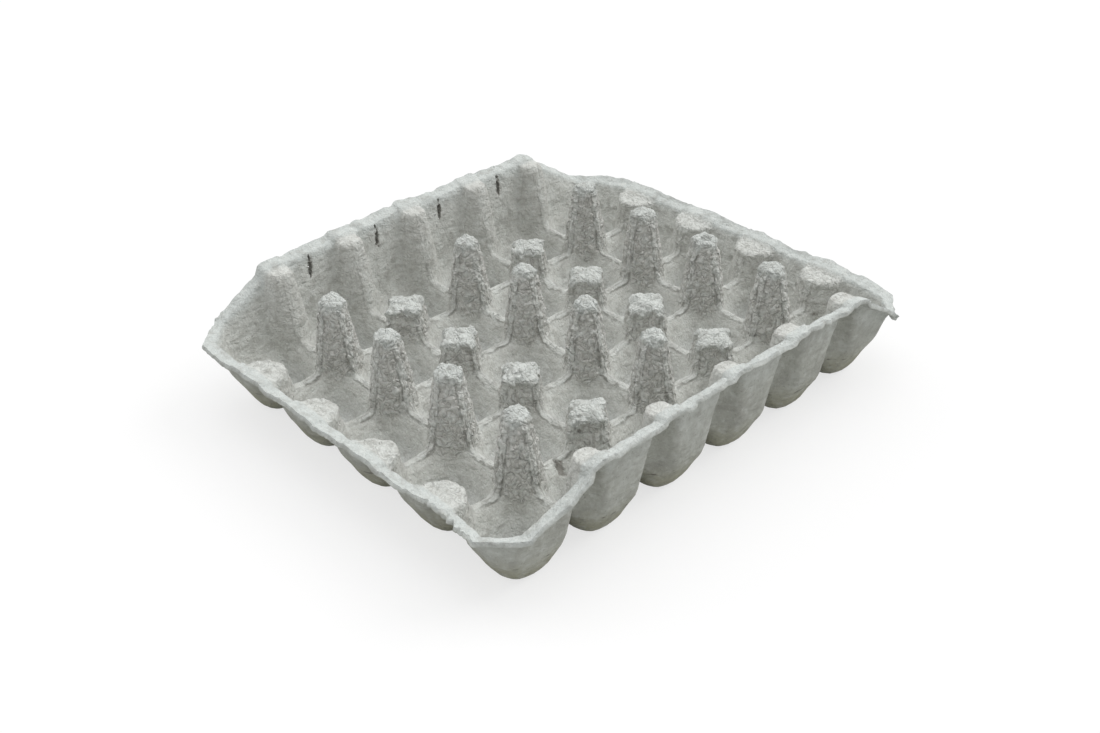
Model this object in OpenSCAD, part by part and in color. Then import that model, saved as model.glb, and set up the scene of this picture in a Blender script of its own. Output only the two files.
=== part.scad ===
// Moulded pulp egg tray: one thin shell with square cups, hollow posts between them and a rim.
// X runs across the tray, Y runs along it and Z is up. The cups' feet stand on z = 0.

/* [Cup grid] */
// Cups across the tray
cups_across = 5; // [3:1:6]
// Cups along the tray, an even number so that both ends are alike
cups_along = 6; // [4:2:8]
// Distance between cup centres across the tray
pitch_across = 50; // [46:0.5:56]
// Distance between cup centres along the tray
pitch_along = 49; // [46:0.5:56]

/* [Cups] */
// Thickness of the moulded pulp
wall = 2.2; // [1.6:0.1:3]
// Width of the flat foot under each cup
foot_width = 24; // [20:0.5:26]
// Height of the saddles between neighbouring cups
saddle_height = 23.5; // [18:0.5:30]
// Width of the crest of a saddle
crest_width = 4.5; // [3:0.5:8]
// Squareness of a cup in plan, where 2 is round
cup_squareness = 3; // [2:0.5:6]

/* [Tall posts] */
// Height of the posts in every odd row
tall_height = 66.5; // [56:0.5:72]
// Width of the cap, from lobe to lobe
tall_cap_width = 14; // [10:0.5:18]
// Taper of the sides in degrees
tall_draft = 10.5; // [8:0.5:12]
// Depth of the flutes as a share of the radius
tall_fluting = 0.1; // [0:0.01:0.14]
// Crown of the cap
tall_crown = 2.5; // [0:0.25:4]

/* [Wall posts] */
// Width of the cap of the posts in the long walls
wall_cap_width = 14; // [10:0.5:18]
// Taper of the sides in degrees
wall_draft = 10.5; // [8:0.5:12]
// Depth of the flutes as a share of the radius
wall_fluting = 0.1; // [0:0.01:0.14]

/* [Short posts] */
// Height of the posts in every even row
short_height = 43.5; // [36:0.5:50]
// Width of the cap, from lobe to lobe
short_cap_width = 25; // [18:0.5:27]
// Taper of the sides in degrees
short_draft = 11; // [6:0.5:14]
// Depth of the flutes as a share of the radius
short_fluting = 0.17; // [0:0.01:0.24]
// Crown of the cap
short_crown = 1; // [0:0.25:3]

/* [Walls and rim] */
// Height of the rim along the two long sides
high_rim = 64; // [54:1:70]
// Height of the rim along the two short sides
low_rim = 40.5; // [36:0.5:50]
// Rise of the long sides' rim from the end bays to the middle
rim_bow = 2; // [0:0.25:4]
// How far the wall of a bay stands outside the line of the wall posts
bay_relief = 2.75; // [0:0.25:4]
// Lean of the upper walls, from the edge of a cup's bowl out to the top of a bay
wall_lean = 6.75; // [4:0.25:9]
// Width of the rim outside the line of the wall posts
rim_width = 10; // [7:0.5:12]
// Height of the outer lip above the rim
lip_height = 2; // [0:0.25:4]
// Plan of the corners, from 1 for a flat chamfer to 2 for round
corner_roundness = 1.05; // [1:0.05:2]

/* [Slits] */
// Width of the slits in the wall of one long side
slit_width = 2.4; // [1.6:0.2:4]
// Height of a slit
slit_height = 8.5; // [6:0.5:12]
// Depth of a slit's upper end below the high rim
slit_drop = 5.5; // [4:0.5:12]
// Distance of a slit from the middle of its bay
slit_shift = 3.5; // [0:0.5:8]
// Sideways lean of a slit from its lower to its upper end
slit_lean = 1.2; // [0:0.2:2]

/* [Hidden] */
pulp_colour = "#b9bbb4";

half_x = pitch_across / 2;
half_y = pitch_along / 2;
wall_x = cups_across * half_x;
wall_y = cups_along * half_y;
foot_half = foot_width / 2;
crest_radius = min(half_x, half_y) - crest_width / 2;

// Softness of the blends: in height for the posts, in plan for the wall
post_blend = 8;
cap_blend = 3;
wall_blend = 0.55;
slope_probe = 0.1;

// Share of a foot that is drawn flat, and shares of the way from a post to the foot's edge
// at which the shell is drawn
flat_share = 0.97;
ring_share = [0.22, 0.48, 0.8, 1];
// The widest that each ring of a post may be drawn, as a share of the same way
ring_limit = [0.5, 0.87, 0.95];
foot_ring = 4;
foot_line_x = half_x - foot_half * flat_share;
foot_line_y = half_y - foot_half * flat_share;
foot_corner = foot_half * flat_share / pow(2, 1 / cup_squareness);

// Size, lobes and taper of a post: height, cap radius, fluting, taper and crown
function tall_post(top) =
    [top, tall_cap_width / 2 / (1 + tall_fluting), tall_fluting, tan(tall_draft), tall_crown];
function wall_post(top) =
    [top, wall_cap_width / 2 / (1 + wall_fluting), wall_fluting, tan(wall_draft), 0];
function short_post(top) =
    [top, short_cap_width / 2 / (1 + short_fluting), short_fluting, tan(short_draft), short_crown];

// Blends and ramps
function soft_max(a, b, k) = max(a, b) + pow(max(k - abs(a - b), 0), 2) / (4 * k);
function soft_min(a, b, k) = min(a, b) - pow(max(k - abs(a - b), 0), 2) / (4 * k);
function clamp(v, low, high) = min(max(v, low), high);
function ease(t) = let (c = clamp(t, 0, 1)) c * c * (3 - 2 * c);
function ramp(t, k) = soft_min(1, soft_max(0, t - k, k), k);
function power_norm(a, b, p) = pow(pow(abs(a), p) + pow(abs(b), p), 1 / p);

// Grid places: the cup centre and the post line nearest to a place along one direction
function cup_number(v, pitch, count) = clamp(round(v / pitch + (count - 1) / 2), 0, count - 1);
function cup_centre(v, pitch, count) = (cup_number(v, pitch, count) - (count - 1) / 2) * pitch;
function post_number(v, pitch, count) = clamp(round(v / pitch + count / 2), 0, count);
function post_line(number, pitch, count) = (number - count / 2) * pitch;

// Rim height: bowed along the long sides, sloping down to the short sides through the end bays
function rim_height(y) =
    low_rim + (high_rim - low_rim) * clamp((wall_y - abs(y)) / pitch_along, 0, 1)
    + rim_bow * max(1 - pow(y / (wall_y - pitch_along), 2), 0);

// A cup's bowl, from its flat foot to the height of the saddles
function cup_rise(x, y) =
    let (
        p = x - cup_centre(x, pitch_across, cups_across),
        q = y - cup_centre(y, pitch_along, cups_along),
        reach = power_norm(p, q, cup_squareness)
    )
    (saddle_height - wall) * ease((reach - foot_half) / (crest_radius - foot_half));

// Place in the outer wall: 0 at the foot's edge, 1 at the top of a bay and more across the rim
function wall_share(v, line, half) =
    (abs(v) - line + half - foot_half) / (half + bay_relief - foot_half);
function wall_place(x, y) =
    power_norm(
        max(wall_share(x, wall_x, half_x), 0),
        max(wall_share(y, wall_y, half_y), 0),
        corner_roundness
    );
start_place = wall_share(wall_x + bay_relief - wall_lean, wall_x, half_x);
lip_place = wall_share(wall_x + rim_width, wall_x, half_x);

// The steep upper wall, from the edge of the outer cups' bowls to the rim and its lip
function wall_rise(x, y) =
    let (
        place = wall_place(x, y),
        share = ramp((place - start_place) / (1 - start_place), wall_blend / wall_lean),
        lip = max(place - 1, 0) / (lip_place - 1)
    )
    (rim_height(y) - saddle_height) * share + lip_height * lip * lip;

// The post at a grid place. Odd rows are tall, even rows are short, the long walls carry wall
// posts that reach their rim, the short walls carry short ones, and the corners carry none.
function post_at(i, j) =
    let (on_long = i == 0 || i == cups_across, on_short = j == 0 || j == cups_along)
    on_long && on_short ? undef
    : on_long ? wall_post(rim_height(post_line(j, pitch_along, cups_along)))
    : on_short ? short_post(low_rim)
    : j % 2 == 1 ? tall_post(tall_height)
    : short_post(short_height);

// Radius of a fluted post relative to its mean, with lobes along the grid directions
function lobe_factor(dx, dy, fluting) =
    let (r2 = dx * dx + dy * dy)
    1 + fluting * (r2 > 0 ? 1 - 8 * dx * dx * dy * dy / (r2 * r2) : 1);

function post_surface(dx, dy, post) =
    let (
        radius = norm([dx, dy]) / lobe_factor(dx, dy, post[2]),
        cap = post[0] - post[4] * pow(radius / post[1], 2),
        flank = post[0] - post[4] - (radius - post[1]) / post[3]
    )
    soft_min(cap, flank, cap_blend);

// Height of the tray's upper face
function upper(x, y) =
    let (
        i = post_number(x, pitch_across, cups_across),
        j = post_number(y, pitch_along, cups_along),
        post = post_at(i, j),
        bank = wall + cup_rise(x, y) + wall_rise(x, y),
        dx = x - post_line(i, pitch_across, cups_across),
        dy = y - post_line(j, pitch_along, cups_along)
    )
    is_undef(post) ? bank : soft_max(bank, post_surface(dx, dy, post), post_blend);

function upper_normal(x, y) =
    let (
        sx = (upper(x + slope_probe, y) - upper(x - slope_probe, y)) / (2 * slope_probe),
        sy = (upper(x, y + slope_probe) - upper(x, y - slope_probe)) / (2 * slope_probe)
    )
    [-sx, -sy, 1] / norm([sx, sy, 1]);

// Lines of the shell along one direction, each as post number, offset and ring.
// Ring 0 runs through the cup centres, rings 1 to 4 run round a post and ring 5 is the rim.
rim_ring = 5;
rim_offsets = [rim_width, bay_relief];
function lines(count, half, foot_line) = [
    for (d = rim_offsets) [0, -d, rim_ring],
    for (k = [1 : foot_ring]) [0, foot_line * ring_share[k - 1], k],
    for (n = [1 : count - 1]) each [
        [n, -half, 0],
        for (k = [foot_ring : -1 : 1]) [n, -foot_line * ring_share[k - 1], k],
        for (k = [1 : foot_ring]) [n, foot_line * ring_share[k - 1], k]
    ],
    [count, -half, 0],
    for (k = [foot_ring : -1 : 1]) [count, -foot_line * ring_share[k - 1], k],
    for (d = [1, 0]) [count, rim_offsets[d], rim_ring]
];
lines_x = lines(cups_across, half_x, foot_line_x);
lines_y = lines(cups_along, half_y, foot_line_y);
count_x = len(lines_x);
count_y = len(lines_y);

// Plan of a ring round a post: it follows the lobes and stays inside the foot's edge
function ring_plan(u, v, post) =
    let (
        ring = max(u[2], v[2]),
        along = [u[1] / foot_line_x, v[1] / foot_line_y],
        dir = along / norm(along),
        base = post[1] + (post[0] - saddle_height) * post[3],
        radius = [post[1] / 2, post[1], base][ring - 1] * lobe_factor(dir[0], dir[1], post[2]),
        limit = ring_limit[ring - 1] * min(foot_line_x, foot_line_y) / max(abs(dir[0]), abs(dir[1]))
    )
    dir * min(radius, limit);

// Plan of a tray corner: the square lines are drawn in to the chamfer
function corner_plan(x, y) =
    let (
        p = max(wall_share(x, wall_x, half_x), 0),
        q = max(wall_share(y, wall_y, half_y), 0),
        pull = p > 0 && q > 0 ? max(p, q) / power_norm(p, q, corner_roundness) : 1,
        reach_x = p * pull * (half_x + bay_relief - foot_half),
        reach_y = q * pull * (half_y + bay_relief - foot_half)
    )
    [
        p > 0 ? sign(x) * (wall_x - half_x + foot_half + reach_x) : x,
        q > 0 ? sign(y) * (wall_y - half_y + foot_half + reach_y) : y
    ];

// Plan of the crossing of two lines
function plan(u, v) =
    let (
        base = [post_line(u[0], pitch_across, cups_across), post_line(v[0], pitch_along, cups_along)],
        square = base + [u[1], v[1]],
        post = post_at(u[0], v[0]),
        ring = max(u[2], v[2])
    )
    u[2] == foot_ring && v[2] == foot_ring
        ? base + [sign(u[1]) * (half_x - foot_corner), sign(v[1]) * (half_y - foot_corner)]
    : is_undef(post) ? corner_plan(square[0], square[1])
    : min(u[2], v[2]) > 0 && ring < foot_ring ? base + ring_plan(u, v, post)
    : square;

places = [for (u = lines_x) for (v = lines_y) plan(u, v)];
upper_points = [for (p = places) [p[0], p[1], upper(p[0], p[1])]];
lower_points = [for (p = upper_points) p - wall * upper_normal(p[0], p[1])];

// Two triangles of a four-sided patch, split along its shorter diagonal
function split(points, a, b, c, d) =
    norm(points[a] - points[c]) <= norm(points[b] - points[d])
        ? [[a, b, c], [a, c, d]]
        : [[a, b, d], [b, c, d]];

module shell() {
    size = count_x * count_y;
    last_x = count_x - 1;
    last_y = count_y - 1;
    points = concat(upper_points, lower_points);
    upper_faces = [
        for (i = [0 : last_x - 1]) for (j = [0 : last_y - 1])
            let (a = i * count_y + j)
            each split(upper_points, a, a + 1, a + count_y + 1, a + count_y)
    ];
    lower_faces = [for (f = upper_faces) [f[2] + size, f[1] + size, f[0] + size]];
    edge = concat(
        [for (i = [0 : last_x]) i * count_y],
        [for (j = [1 : last_y]) last_x * count_y + j],
        [for (i = [last_x - 1 : -1 : 0]) i * count_y + last_y],
        [for (j = [last_y - 1 : -1 : 1]) j]
    );
    edge_faces = [
        for (k = [0 : len(edge) - 1])
            let (a = edge[k], b = edge[(k + 1) % len(edge)])
            each [[a, b, b + size], [a, b + size, a + size]]
    ];
    polyhedron(points, concat(upper_faces, lower_faces, edge_faces), convexity = 10);
}

// One slit and the nick above it, through the wall of a long side
slit_through = 30;
nick_width = slit_width / 2;
nick_height = slit_height / 4;
nick_gap = slit_width / 2;
module slot(width, height, lean) {
    hull() {
        for (end = [0, 1])
            translate([0, end * lean, width / 2 + end * (height - width)])
                rotate([0, 90, 0])
                    cylinder(d = width, h = slit_through, center = true, $fn = 12);
    }
}
module slit() {
    slot(slit_width, slit_height, slit_lean);
    translate([0, slit_lean, slit_height + nick_gap])
        slot(nick_width, nick_height, 0);
}

// The whole tray: the shell, with a slit in each middle bay of one long side
module egg_tray() {
    color(pulp_colour)
        difference() {
            shell();
            for (n = [1 : cups_along - 2])
                translate([
                    -wall_x,
                    (n - (cups_along - 1) / 2) * pitch_along - slit_shift,
                    high_rim - slit_drop - slit_height
                ])
                    slit();
        }
}

egg_tray();
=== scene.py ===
"""The looks of a moulded pulp egg tray: its pressed sheet, its grey pulp finish and a plain studio.

The tray is one sheet of paper pulp, sucked wet onto a mesh form and dried. The sheet is laid as a
flat grid, pressed to the form's height, refined where it is steep or rough, slit, frayed at its rim,
given the thickness of the pulp and then roughened. Sizes are millimetres unless a name says otherwise.
"""

import logging
import math
from dataclasses import dataclass, field
from enum import Enum

import bpy
import numpy as np
from mathutils import Matrix, Vector

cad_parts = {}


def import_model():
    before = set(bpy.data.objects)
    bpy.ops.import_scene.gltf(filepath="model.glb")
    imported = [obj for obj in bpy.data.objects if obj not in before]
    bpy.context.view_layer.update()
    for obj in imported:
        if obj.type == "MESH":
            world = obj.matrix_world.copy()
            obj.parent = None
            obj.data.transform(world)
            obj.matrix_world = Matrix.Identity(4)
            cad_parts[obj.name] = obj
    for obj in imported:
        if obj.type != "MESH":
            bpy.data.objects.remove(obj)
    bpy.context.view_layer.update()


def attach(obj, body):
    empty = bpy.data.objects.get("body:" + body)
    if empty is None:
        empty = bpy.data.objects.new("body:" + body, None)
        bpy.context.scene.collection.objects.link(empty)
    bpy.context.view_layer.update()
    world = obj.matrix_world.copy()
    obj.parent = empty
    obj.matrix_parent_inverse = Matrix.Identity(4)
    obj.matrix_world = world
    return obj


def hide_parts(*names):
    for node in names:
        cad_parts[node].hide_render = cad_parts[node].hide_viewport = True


LOG = logging.getLogger("egg_tray")
MM = 0.001
TINY = 1e-9
FAR = 9.0
WHOLE = 0.99
PHOTO_WIDTH = 1100

Array = np.ndarray
Piece = bpy.types.Object
Tree = bpy.types.NodeTree
Socket = bpy.types.NodeSocket


class Zone(Enum):
    """Parts of the sheet that the press and the wear left with a surface of their own, and where the finish
    paints shade and light.
    """

    CAP = "cap"
    HEM = "hem"
    NECK = "neck"
    FACE = "face"
    RIDGE = "ridge"
    RIM = "rim"
    # Where shade is painted in and round the slits and the pits.
    PIT = "pit"
    UNDERSIDE = "underside"

    @property
    def attribute(self) -> str:
        """Name of the mesh attribute that holds the zone's shares for the finish."""
        return f"{self.value}_share"


class Grain(Enum):
    """Kinds of unevenness in dried pulp."""

    SWELL = "SOFT_NOISE"
    CRUMPLE = "HARD_NOISE"


Patterns = dict[str | Zone, Socket]


def linear(hex_colour: str) -> tuple[float, float, float, float]:
    """Turns an sRGB hex colour into linear light.

    Args:
        hex_colour: Six hex digits after a hash.

    Returns:
        Red, green, blue and an alpha of 1.
    """
    shares = [int(hex_colour[k:k + 2], 16) / 255 for k in (1, 3, 5)]
    light = [c / 12.92 if c <= 0.04045 else ((c + 0.055) / 1.055) ** 2.4 for c in shares]
    return (light[0], light[1], light[2], 1.0)


def per_metre(size: float) -> float:
    """Returns the texture scale that gives a pattern of that size in millimetres."""
    return 1 / (size * MM)


def add_node(
    tree: Tree,
    kind: str,
    links: dict[int | str, Socket] | None = None,
    values: dict[int | str, object] | None = None,
    **settings: object,
) -> bpy.types.Node:
    """Adds a node with its settings, its fixed inputs and its links.

    Args:
        tree: The tree that gets the node.
        kind: Blender's name for the node type, after ShaderNode.
        links: Sockets to link, by the input they go to.
        values: Fixed values, by the input that holds them.
        settings: Properties of the node itself.

    Returns:
        The new node.
    """
    node = tree.nodes.new(f"ShaderNode{kind}")
    for name, value in settings.items():
        setattr(node, name, value)
    for key, value in (values or {}).items():
        node.inputs[key].default_value = value
    for key, socket in (links or {}).items():
        tree.links.new(socket, node.inputs[key])
    return node


def empty_tree(owner: bpy.types.Material | bpy.types.World) -> Tree:
    """Returns the emptied node tree of a material or a world."""
    owner.use_nodes = True
    owner.node_tree.nodes.clear()
    return owner.node_tree


def seen_share(tree: Tree) -> Socket:
    """Tells rays that show something from rays that only carry light on.

    Args:
        tree: The tree that gets the nodes.

    Returns:
        An output that is 1 for what is seen, straight or in a mirror or a pane, and 0 otherwise.
    """
    path = add_node(tree, "LightPath")
    seen = path.outputs["Is Camera Ray"]
    for ray in ("Is Glossy Ray", "Is Transmission Ray"):
        seen = add_node(
            tree, "Math", {0: seen, 1: path.outputs[ray]}, operation="ADD", use_clamp=True,
        ).outputs[0]
    return seen


def soft_max(a: Array, b: Array, blend: float) -> Array:
    """Returns the larger of two heights, with the corner between them filled."""
    return np.maximum(a, b) + np.maximum(blend - np.abs(a - b), 0) ** 2 / (4 * blend)


def soft_min(a: Array, b: Array, blend: float) -> Array:
    """Returns the smaller of two heights, with the edge between them rounded."""
    return np.minimum(a, b) - np.maximum(blend - np.abs(a - b), 0) ** 2 / (4 * blend)


def ease(t: Array) -> Array:
    """Returns a smooth step from 0 to 1."""
    c = np.clip(t, 0, 1)
    return c * c * (3 - 2 * c)


def power_norm(a: Array, b: Array, power: Array | float) -> Array:
    """Returns the reach of two offsets: round at a power of 2, squarer above it and pointed below."""
    return (np.abs(a) ** power + np.abs(b) ** power) ** (1 / power)


def ripple(x: Array, y: Array, size: float, seed: int, waves: int = 9) -> Array:
    """Gives the smooth unevenness of a hand-worked form.

    Args:
        x: Places in one direction.
        y: Places in the other direction.
        size: Distance from one swelling to the next.
        seed: Which of the many like patterns to take.
        waves: How many waves are added up.

    Returns:
        Values around 0, mostly between -1 and 1.
    """
    draw = np.random.default_rng(seed)
    total = np.zeros(np.broadcast(x, y).shape)
    for _ in range(waves):
        turn = draw.uniform(0, 2 * math.pi)
        phase = draw.uniform(0, 2 * math.pi)
        length = size * draw.uniform(0.7, 1.5)
        total += np.sin((x * math.cos(turn) + y * math.sin(turn)) * 2 * math.pi / length + phase)
    return total / math.sqrt(waves)


@dataclass(frozen=True)
class Waves:
    """One smooth unevenness: how high it stands, how far apart its swellings are and which one it is."""

    rise: float
    size: float
    seed: int

    def at(self, x: Array, y: Array) -> Array:
        """Returns the unevenness at places in two directions."""
        return self.rise * ripple(x, y, self.size, self.seed)


@dataclass(frozen=True)
class CupGrid:
    """The grid of cups and the pressed cups themselves."""

    across: int = 5
    along: int = 6
    pitch_across: float = 50.0
    pitch_along: float = 49.0
    wall: float = 2.2
    foot_width: float = 24.0
    saddle_height: float = 23.5
    crest_width: float = 4.5
    squareness: float = 3.0

    @property
    def half_x(self) -> float:
        """Half of the pitch across."""
        return self.pitch_across / 2

    @property
    def half_y(self) -> float:
        """Half of the pitch along."""
        return self.pitch_along / 2

    @property
    def wall_x(self) -> float:
        """Place of the long walls' line of posts."""
        return self.across * self.half_x

    @property
    def wall_y(self) -> float:
        """Place of the short walls' line of posts."""
        return self.along * self.half_y


@dataclass(frozen=True)
class Post:
    """One kind of hollow post between the cups.

    The powers give its plan at the cap and at the base: 2 is round, more is square to the grid and
    less is a diamond with its ridges along the grid. The lobes add a clover's four leaves. The hem is
    the depth of the cap over the sides, the overhang is how far it stands out over the neck below it,
    and the roughness is the share of crumpled pulp on the sides.
    """

    cap_width: float
    draft_degrees: float
    cap_power: float
    base_power: float
    cap_lobes: float
    base_lobes: float
    crown: float
    hem: float
    overhang: float
    roughness: float

    @property
    def cap_radius(self) -> float:
        """Mean radius of the cap, between its lobes and the hollows between them."""
        return self.cap_width / 2 / (1 + self.cap_lobes)

    @property
    def taper(self) -> float:
        """Growth of the radius for each millimetre downwards."""
        return math.tan(math.radians(self.draft_degrees))


@dataclass(frozen=True)
class Corner:
    """What handling did to one corner of the rim.

    The sides are -1 or 1. The dip lowers the whole corner, the droop bends its lip down, the spread
    pulls the lip out, and the skew pushes the corner's walls along its cut.
    """

    side_x: int
    side_y: int
    dip: float = 0.0
    droop: float = 0.0
    spread: float = 0.0
    skew: float = 0.0
    reach: float = 24.0


@dataclass(frozen=True)
class Tear:
    """A stretch of the rim whose edge is torn off."""

    place: tuple[float, float]
    reach: float
    bite: float


@dataclass(frozen=True)
class Pit:
    """A dent in the upper face, with its middle, its half sizes along and up the bank, and its depth."""

    place: tuple[float, float, float]
    half_width: float
    half_height: float
    depth: float


@dataclass(frozen=True)
class Walls:
    """The outer walls and the rim round the tray."""

    high_rim: float = 64.0
    low_rim: float = 40.5
    bow: float = 2.0
    bay_relief: float = 2.75
    lean: float = 6.75
    blend: float = 1.4
    rim_start: float = 6.0
    rim_width: float = 10.0
    lip_height: float = 2.0
    corner_cut: float = 0.84
    corners: tuple[Corner, ...] = (
        Corner(-1, 1, dip=6.0),
        Corner(1, 1, dip=1.0, droop=6.0, spread=1.5, reach=18.0),
        Corner(-1, -1, dip=-3.0, droop=1.5, reach=20.0),
        Corner(1, -1, dip=-1.2, skew=4.0, reach=22.0),
    )
    tears: tuple[Tear, ...] = (
        Tear((92.0, -157.0), 16.0, 2.2),
        Tear((-128.0, -138.0), 9.0, 1.6),
        Tear((133.0, 145.0), 8.0, 2.4),
        Tear((134.0, -30.0), 5.0, 1.2),
        Tear((134.0, 66.0), 6.0, 1.2),
        Tear((-134.0, 20.0), 7.0, 1.2),
    )


@dataclass(frozen=True)
class Slits:
    """The slits in the bays of one long wall."""

    width: float = 2.3
    height: float = 8.5
    drop: float = 5.0
    shift: float = 3.5
    lean: float = 1.2
    nick_width: float = 1.3
    nick_height: float = 2.2
    nick_gap: float = 1.4
    squareness: float = 2.6
    raggedness: float = 0.22
    grit: float = 2.2
    seed: int = 41
    margin: float = 2.5
    burr: float = 2.8
    burr_reach: float = 2.0
    shade_reach: float = 1.3
    shade_steepness: float = 3.0


@dataclass(frozen=True)
class Survey:
    """What the form is made of at each place, with the offset from its nearest post."""

    bank: Array
    post: Array
    top: Array
    hem: Array
    overhang: Array
    roughness: Array
    dx: Array
    dy: Array


@dataclass(frozen=True)
class TrayForm:
    """The mesh form that the wet pulp is sucked onto, with what handling did to the tray."""

    grid: CupGrid = CupGrid()
    tall_height: float = 66.5
    short_height: float = 43.5
    tall: Post = Post(
        cap_width=14.5, draft_degrees=11.6, cap_power=2.1, base_power=1.26, cap_lobes=0.0, base_lobes=0.0,
        crown=3.0, hem=6.0, overhang=0.15, roughness=1.0,
    )
    short: Post = Post(
        cap_width=25.0, draft_degrees=10.5, cap_power=2.0, base_power=1.5, cap_lobes=0.2, base_lobes=0.13,
        crown=2.8, hem=5.5, overhang=1.0, roughness=0.9,
    )
    wall_post: Post = Post(
        cap_width=14.5, draft_degrees=11.0, cap_power=2.6, base_power=1.35, cap_lobes=0.0, base_lobes=0.0,
        crown=0.6, hem=2.5, overhang=0.0, roughness=0.25,
    )
    end_post: Post = Post(
        cap_width=25.5, draft_degrees=10.5, cap_power=2.4, base_power=1.7, cap_lobes=0.06, base_lobes=0.08,
        crown=1.0, hem=4.0, overhang=0.7, roughness=0.5,
    )
    walls: Walls = Walls()
    post_blend: float = 8.0
    cap_blend: float = 4.0
    foot_blend: float = 0.2
    crest_blend: float = 0.5
    plan_change: float = 7.0
    run_out: float = 0.01
    deepest_overhang: float = 2.0
    slope_probe: float = 0.05
    height_spread: float = 0.6
    width_spread: float = 0.05
    place_spread: float = 0.6
    seed: int = 11
    warps: tuple[Waves, ...] = (Waves(0.45, 60.0, 21), Waves(0.25, 19.0, 22))
    warp_start: float = 1.0
    warp_run: float = 12.0
    post_edge: float = 6.0
    hem_waves: tuple[Waves, ...] = (Waves(0.2, 9.0, 31), Waves(0.12, 3.5, 32))
    hem_middle: float = 0.8
    neck_middle: float = -2.4
    hem_band: float = 1.9
    cap_edge: float = 4.5
    cap_evenness: float = 0.3
    ridge_width: float = 4.5
    ridge_core: float = 1.3
    ridge_foot: float = 15.0
    ridge_run_up: float = 7.0
    ridge_least: float = 0.2
    ridge_shift: float = 40.0
    rim_from: float = 0.88
    rim_run: float = 0.14
    zones: tuple[Zone, ...] = (Zone.CAP, Zone.HEM, Zone.NECK, Zone.FACE, Zone.RIDGE, Zone.RIM)

    def wall_share(self, v: Array, line: float, half: float) -> Array:
        """Returns the place in a wall: 0 at the foot's edge, 1 at the top of a bay."""
        foot = self.grid.foot_width / 2
        return np.maximum((np.abs(v) - line + half - foot) / (half + self.walls.bay_relief - foot), 0)

    def meet(self, p: Array, q: Array) -> Array:
        """Returns the place in two walls that meet in a corner with its tip cut off straight."""
        return np.maximum(np.maximum(p, q), self.walls.corner_cut * (p + q))

    def wall_place(self, x: Array, y: Array) -> Array:
        """Returns the place in the outer walls, which meet in the tray's corners."""
        g = self.grid
        p = self.wall_share(x, g.wall_x, g.half_x)
        q = self.wall_share(y, g.wall_y, g.half_y)
        return self.meet(p, q)

    @property
    def start_place(self) -> float:
        """Place in the outer walls where the steep upper wall starts."""
        g, w = self.grid, self.walls
        return float(self.wall_share(np.float64(g.wall_x + w.bay_relief - w.lean), g.wall_x, g.half_x))

    @property
    def lip_place(self) -> float:
        """Place of the rim's outer lip in the outer walls."""
        g = self.grid
        return float(self.wall_share(np.float64(g.wall_x + self.walls.rim_width), g.wall_x, g.half_x))

    def lip(self, x: Array, y: Array) -> Array:
        """Returns the place across the rim: 0 at the top of a bay and 1 at the outer lip."""
        return np.maximum(self.wall_place(x, y) - 1, 0) / (self.lip_place - 1)

    def draw_in_corners(self, x: Array, y: Array) -> tuple[Array, Array]:
        """Draws the square plan in to the cut-off corners.

        Args:
            x: Places across the tray.
            y: Places along the tray.

        Returns:
            The places in the tray's own plan.
        """
        g, relief, foot = self.grid, self.walls.bay_relief, self.grid.foot_width / 2
        p = self.wall_share(x, g.wall_x, g.half_x)
        q = self.wall_share(y, g.wall_y, g.half_y)
        both = (p > 0) & (q > 0)
        reach = np.where(both, self.meet(p, q), 1)
        pull = np.where(both, np.maximum(p, q) / reach, 1)
        inner_x = g.wall_x - g.half_x + foot
        inner_y = g.wall_y - g.half_y + foot
        new_x = np.sign(x) * (inner_x + p * pull * (g.half_x + relief - foot))
        new_y = np.sign(y) * (inner_y + q * pull * (g.half_y + relief - foot))
        return np.where(p > 0, new_x, x), np.where(q > 0, new_y, y)

    def corner_share(self, corner: Corner, x: Array, y: Array) -> Array:
        """Returns how near each place is to a corner, from 1 at the corner to 0."""
        g = self.grid
        across = (x - corner.side_x * g.wall_x) / corner.reach
        along = (y - corner.side_y * g.wall_y) / corner.reach
        return np.exp(-across ** 2 - along ** 2)

    def rim_height(self, x: Array, y: Array) -> Array:
        """Gives the height of the rim, bowed along the long sides and low at the short ones.

        Args:
            x: Places across the tray.
            y: Places along the tray.

        Returns:
            Heights of the rim nearest to those places.
        """
        g, w = self.grid, self.walls
        slope = np.clip((g.wall_y - w.rim_start - np.abs(y)) / (g.pitch_along - w.rim_start), 0, 1)
        bow = np.maximum(1 - (y / (g.wall_y - g.pitch_along)) ** 2, 0)
        rim = w.low_rim + (w.high_rim - w.low_rim) * slope + w.bow * bow
        for corner in w.corners:
            rim = rim - corner.dip * self.corner_share(corner, x, y)
        return rim

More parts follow.
